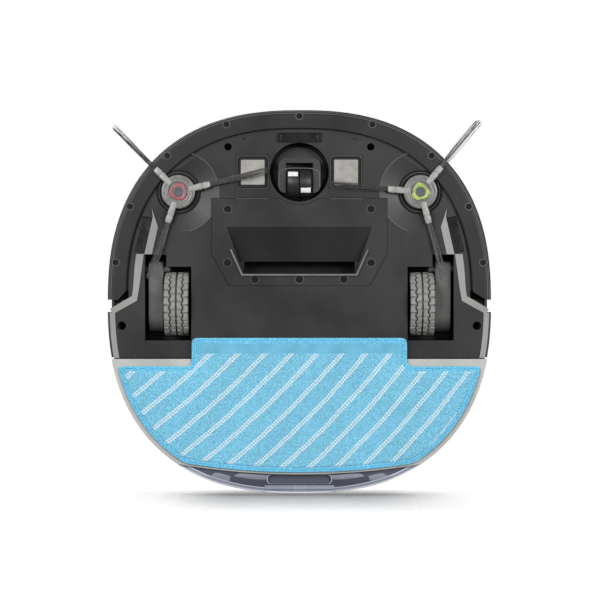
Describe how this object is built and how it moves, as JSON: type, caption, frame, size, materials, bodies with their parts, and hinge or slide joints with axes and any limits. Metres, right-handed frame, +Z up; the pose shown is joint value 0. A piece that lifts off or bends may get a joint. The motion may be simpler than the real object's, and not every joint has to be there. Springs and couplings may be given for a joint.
{
  "type": "robot vacuum",
  "caption": "Low rounded-square floor-cleaning robot with side brushes, ramped suction mouth, sprung drive wheels, swivel roller, top dust box and slide-out tank with mop cloth.",
  "frame": {"origin": "on the floor, under the centre of the body's outline", "axes": "+Z up; -Y is the front (bumper), +Y the rear (water tank); +X the machine's left side seen from above the front"},
  "size_m": [0.31, 0.31, 0.057],
  "materials": {
    "charcoal_plastic": "fine grained matt charcoal",
    "dark_frame": "matt black moulded frames",
    "deck_plastic": "satin charcoal cover",
    "grey_trim": "satin mid grey trim",
    "mop_plate_plastic": "matt light grey",
    "lip_rubber": "matt grey rubber",
    "screw_steel": "bright zinc",
    "charge_metal": "satin nickel plate",
    "sensor_black": "gloss black infrared window",
    "cell_wrap": "shrink wrap",
    "board_green": "solder mask",
    "motor_steel": "satin steel can",
    "switch_black": "gloss black",
    "status_lens": "milky lens",
    "gearbox_smoke": "smoked translucent plastic",
    "rim_plastic": "matt black",
    "tyre_grey": "matt grey rubber",
    "caster_plastic": "matt dark grey",
    "roller_dark": "matt black roller",
    "mark_white": "matt white",
    "hub_smoke": "translucent grey plastic",
    "cap_red": "translucent red plastic",
    "cap_green": "translucent yellow green plastic",
    "bristle_brown": "grey brown nylon bristle",
    "fan_white": "pale moulded fan",
    "key_grey": "satin pale grey key",
    "tank_smoke": "smoked violet grey translucent plastic",
    "tank_catch": "satin grey",
    "cloth_blue": "light blue looped cloth with white double stripes",
    "bin_smoke": "smoked plastic",
    "filter_white": "white pleated paper"
  },
  "bodies": {
    "chassis": {"base_plate": "charcoal_plastic", "nose_plate": "charcoal_plastic", "bay_shell": "dark_frame", "top_shell": "deck_plastic", "side_wall": "deck_plastic", "drive_frame_l": "dark_frame", "drive_frame_r": "dark_frame", "caster_socket": "dark_frame", "side_trim_l": "grey_trim", "side_trim_r": "grey_trim", "suction_panel": "charcoal_plastic", "suction_lip": "lip_rubber", "suction_duct": "dark_frame", "plate_screws_grp": "screw_steel", "charge_plate_l": "charge_metal", "charge_plate_r": "charge_metal", "cliff_front": "sensor_black", "cliff_l": "sensor_black", "cliff_r": "sensor_black", "battery_pack": "cell_wrap", "main_board": "board_green", "blower_housing": "dark_frame", "brush_motor_l": "motor_steel", "brush_motor_r": "motor_steel", "bumper_switches_grp": "switch_black", "status_ring": "status_lens"},
    "bumper": {"bumper_shell": "charcoal_plastic", "bumper_window": "sensor_black", "bumper_screws_grp": "screw_steel"},
    "drive_unit_l": {"gearbox_l": "gearbox_smoke", "drive_motor_l": "motor_steel"},
    "drive_unit_r": {"gearbox_r": "gearbox_smoke", "drive_motor_r": "motor_steel"},
    "wheel_l": {"wheel_rim_l": "rim_plastic", "tyre_l": "tyre_grey"},
    "wheel_r": {"wheel_rim_r": "rim_plastic", "tyre_r": "tyre_grey"},
    "fork": {"caster_fork": "caster_plastic", "caster_axle": "screw_steel"},
    "roller": {"caster_roller": "roller_dark", "roller_marks": "mark_white"},
    "brush_l": {"brush_hub_l": "hub_smoke", "brush_cap_l": "cap_red", "bristles_l": "bristle_brown"},
    "brush_r": {"brush_hub_r": "hub_smoke", "brush_cap_r": "cap_green", "bristles_r": "bristle_brown"},
    "fan": {"impeller": "fan_white"},
    "power_key": {"power_button": "key_grey"},
    "home_key": {"home_button": "key_grey"},
    "tank": {"tank_shell": "tank_smoke", "tank_cap": "tank_catch", "mop_plate": "mop_plate_plastic", "mop_cloth": "cloth_blue"},
    "catch": {"tank_latch": "tank_catch"},
    "dust_box": {"bin_tub": "bin_smoke", "bin_filter": "filter_white"},
    "dust_lid": {"bin_lid": "deck_plastic"}
  },
  "joints": [
    {"name": "bumper_press", "type": "slide", "parent": "chassis", "child": "bumper", "axis": [0, 1, 0], "range_m": [0, 0.0022], "stiffness_N_per_m": 900, "springref_m": -0.002},
    {"name": "drive_drop_l", "type": "hinge", "parent": "chassis", "child": "drive_unit_l", "pos_m": [-0.115, -0.0265, 0.02], "axis": [-1, 0, 0], "range_deg": [0, 28], "stiffness_Nm_per_rad": 0.12, "springref_deg": 57.3},
    {"name": "drive_drop_r", "type": "hinge", "parent": "chassis", "child": "drive_unit_r", "pos_m": [0.115, -0.0265, 0.02], "axis": [-1, 0, 0], "range_deg": [0, 28], "stiffness_Nm_per_rad": 0.12, "springref_deg": 57.3},
    {"name": "wheel_spin_l", "type": "hinge", "parent": "drive_unit_l", "child": "wheel_l", "pos_m": [-0.0991, 0.002, 0.026], "axis": [1, 0, 0], "continuous": true},
    {"name": "wheel_spin_r", "type": "hinge", "parent": "drive_unit_r", "child": "wheel_r", "pos_m": [0.0991, 0.002, 0.026], "axis": [1, 0, 0], "continuous": true},
    {"name": "fork_swivel", "type": "hinge", "parent": "chassis", "child": "fork", "pos_m": [0, -0.1042, 0.012], "axis": [0, 0, 1], "continuous": true},
    {"name": "roller_spin", "type": "hinge", "parent": "fork", "child": "roller", "pos_m": [0, -0.0958, 0.012], "axis": [1, 0, 0], "continuous": true},
    {"name": "brush_spin_l", "type": "hinge", "parent": "chassis", "child": "brush_l", "pos_m": [-0.0974, -0.0882, 0.006], "axis": [0, 0, 1], "continuous": true},
    {"name": "brush_spin_r", "type": "hinge", "parent": "chassis", "child": "brush_r", "pos_m": [0.0974, -0.0882, 0.006], "axis": [0, 0, 1], "continuous": true},
    {"name": "fan_spin", "type": "hinge", "parent": "chassis", "child": "fan", "pos_m": [0, 0.08, 0.044], "axis": [0, 0, 1], "continuous": true},
    {"name": "power_press", "type": "slide", "parent": "chassis", "child": "power_key", "axis": [0, 0, -1], "range_m": [0, 0.0012], "stiffness_N_per_m": 400, "springref_m": -0.001},
    {"name": "home_press", "type": "slide", "parent": "chassis", "child": "home_key", "axis": [0, 0, -1], "range_m": [0, 0.0012], "stiffness_N_per_m": 400, "springref_m": -0.001},
    {"name": "tank_slide", "type": "slide", "parent": "chassis", "child": "tank", "axis": [0, 1, 0], "range_m": [0, 0.14]},
    {"name": "catch_press", "type": "slide", "parent": "tank", "child": "catch", "axis": [0, -1, 0], "range_m": [0, 0.002], "stiffness_N_per_m": 500, "springref_m": -0.002},
    {"name": "dust_box_lift", "type": "slide", "parent": "chassis", "child": "dust_box", "axis": [0, 0, 1], "range_m": [0, 0.05]},
    {"name": "dust_lid_open", "type": "hinge", "parent": "dust_box", "child": "dust_lid", "pos_m": [0, 0.0425, 0.0561], "axis": [-1, 0, 0], "range_deg": [0, 85]}
  ]
}
